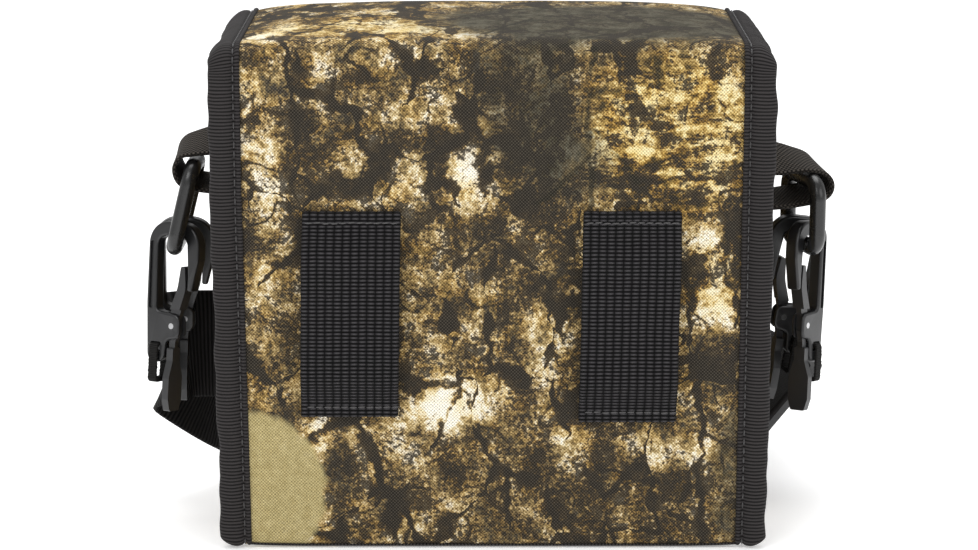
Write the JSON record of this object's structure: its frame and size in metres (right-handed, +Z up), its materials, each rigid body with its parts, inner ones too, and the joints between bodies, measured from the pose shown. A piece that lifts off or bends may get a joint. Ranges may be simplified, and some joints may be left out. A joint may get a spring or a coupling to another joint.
{
  "type": "binocular harness pack",
  "caption": "Soft camouflage pack with a flap lid, back belt loops, side rings with lever snap hooks and a wide adjustable harness strap.",
  "frame": {"origin": "centre of the flat base that the pack stands on", "axes": "+X along the pack's width, +Y from its back with the belt loops to its front, +Z up"},
  "size_m": [0.233, 0.1912, 0.168],
  "materials": {
    "camo_cloth": "printed plain weave, matt",
    "side_cloth": "black woven cloth, matt",
    "binding_tape": "ribbed tape, matt",
    "loop_webbing": "ribbed flat webbing, matt",
    "tab_webbing": "flat webbing, matt",
    "strap_webbing": "flat webbing, matt",
    "fastener_tape": "hook-and-loop tape",
    "hook_plastic": "moulded, satin",
    "ring_plastic": "moulded, satin",
    "slider_plastic": "moulded, fine texture",
    "pin_steel": "bright steel",
    "spring_steel": "bright spring wire",
    "foam": "closed cell foam",
    "lining_cloth": "brushed knit",
    "board_plastic": "plain sheet"
  },
  "bodies": {
    "pack": {"back_binding_left": "binding_tape", "back_binding_right": "binding_tape", "back_foam": "foam", "back_panel": "camo_cloth", "base_board": "board_plastic", "base_panel": "side_cloth", "belt_loop_left": "loop_webbing", "belt_loop_right": "loop_webbing", "closure_loop_patch": "fastener_tape", "front_foam": "foam", "front_panel": "camo_cloth", "gusset_left": "camo_cloth", "gusset_right": "camo_cloth", "harness_strap": "strap_webbing", "lining": "lining_cloth", "side_tab_left": "tab_webbing", "side_tab_right": "tab_webbing", "strap_end": "strap_webbing", "strap_tie": "fastener_tape"},
    "lid": {"lid_panel": "camo_cloth", "lid_binding_left": "binding_tape", "lid_binding_right": "binding_tape", "flap_hem": "binding_tape", "closure_hook_patch": "fastener_tape", "pull_tab": "tab_webbing"},
    "ring_left": {"ring_left": "ring_plastic"},
    "ring_right": {"ring_right": "ring_plastic"},
    "slider": {"slider": "slider_plastic"},
    "hook_left_inner": {"hook_body_left_inner": "hook_plastic", "gate_pin_left_inner": "pin_steel", "hook_tape_left_inner": "tab_webbing"},
    "gate_left_inner": {"gate_left_inner": "hook_plastic", "gate_spring_left_inner": "spring_steel"},
    "hook_left_outer": {"hook_body_left_outer": "hook_plastic", "gate_pin_left_outer": "pin_steel", "hook_tape_left_outer": "tab_webbing"},
    "gate_left_outer": {"gate_left_outer": "hook_plastic", "gate_spring_left_outer": "spring_steel"},
    "hook_right_inner": {"hook_body_right_inner": "hook_plastic", "gate_pin_right_inner": "pin_steel", "hook_tape_right_inner": "tab_webbing"},
    "gate_right_inner": {"gate_right_inner": "hook_plastic", "gate_spring_right_inner": "spring_steel"},
    "hook_right_outer": {"hook_body_right_outer": "hook_plastic", "gate_pin_right_outer": "pin_steel", "hook_tape_right_outer": "tab_webbing"},
    "gate_right_outer": {"gate_right_outer": "hook_plastic", "gate_spring_right_outer": "spring_steel"}
  },
  "joints": [
    {"name": "lid_hinge", "type": "hinge", "parent": "pack", "child": "lid", "pos_m": [0, -0.043, 0.164], "axis": [1, 0, 0], "range_deg": [0, 110]},
    {"name": "ring_left_swing", "type": "hinge", "parent": "pack", "child": "ring_left", "pos_m": [-0.1003, 0, 0.1217], "axis": [0, 1, 0], "range_deg": [-6, 20]},
    {"name": "ring_right_swing", "type": "hinge", "parent": "pack", "child": "ring_right", "pos_m": [0.1055, 0, 0.117], "axis": [0.2419, -0.9703, 0], "range_deg": [-2, 20]},
    {"name": "hook_left_inner_swing", "type": "hinge", "parent": "ring_left", "child": "hook_left_inner", "pos_m": [-0.10722, 0.0053, 0.09395], "axis": [0, 1, 0], "range_deg": [-5, 8]},
    {"name": "hook_left_outer_swing", "type": "hinge", "parent": "ring_left", "child": "hook_left_outer", "pos_m": [-0.10722, -0.0043, 0.09395], "axis": [0, 1, 0], "range_deg": [-5, 8]},
    {"name": "hook_right_inner_swing", "type": "hinge", "parent": "ring_right", "child": "hook_right_inner", "pos_m": [0.10415, 0.00543, 0.0944], "axis": [0.2419, -0.9703, 0], "range_deg": [-2, 8]},
    {"name": "hook_right_outer_swing", "type": "hinge", "parent": "ring_right", "child": "hook_right_outer", "pos_m": [0.10676, -0.00505, 0.0944], "axis": [0.2419, -0.9703, 0], "range_deg": [-2, 8]},
    {"name": "gate_left_inner_press", "type": "hinge", "parent": "hook_left_inner", "child": "gate_left_inner", "pos_m": [-0.10558, 0.00602, 0.06678], "axis": [0, -0.9997, -0.0262], "range_deg": [0, 18], "stiffness_Nm_per_rad": 0.004, "springref_deg": -14.32},
    {"name": "gate_left_outer_press", "type": "hinge", "parent": "hook_left_outer", "child": "gate_left_outer", "pos_m": [-0.10762, -0.00825, 0.06711], "axis": [-0.4993, -0.8564, 0.1315], "range_deg": [0, 18], "stiffness_Nm_per_rad": 0.004, "springref_deg": -14.32},
    {"name": "gate_right_inner_press", "type": "hinge", "parent": "hook_right_inner", "child": "gate_right_inner", "pos_m": [0.09966, 0.0048, 0.06767], "axis": [-0.2419, 0.9701, 0.0175], "range_deg": [0, 18], "stiffness_Nm_per_rad": 0.004, "springref_deg": -14.32},
    {"name": "gate_right_outer_press", "type": "hinge", "parent": "hook_right_outer", "child": "gate_right_outer", "pos_m": [0.10518, -0.00947, 0.06769], "axis": [-0.8074, 0.5879, -0.0489], "range_deg": [0, 18], "stiffness_Nm_per_rad": 0.004, "springref_deg": -14.32},
    {"name": "slider_slide", "type": "slide", "parent": "pack", "child": "slider", "axis": [-0.0368, 0.9989, 0.0296], "range_m": [-0.002, 0.014]}
  ]
}
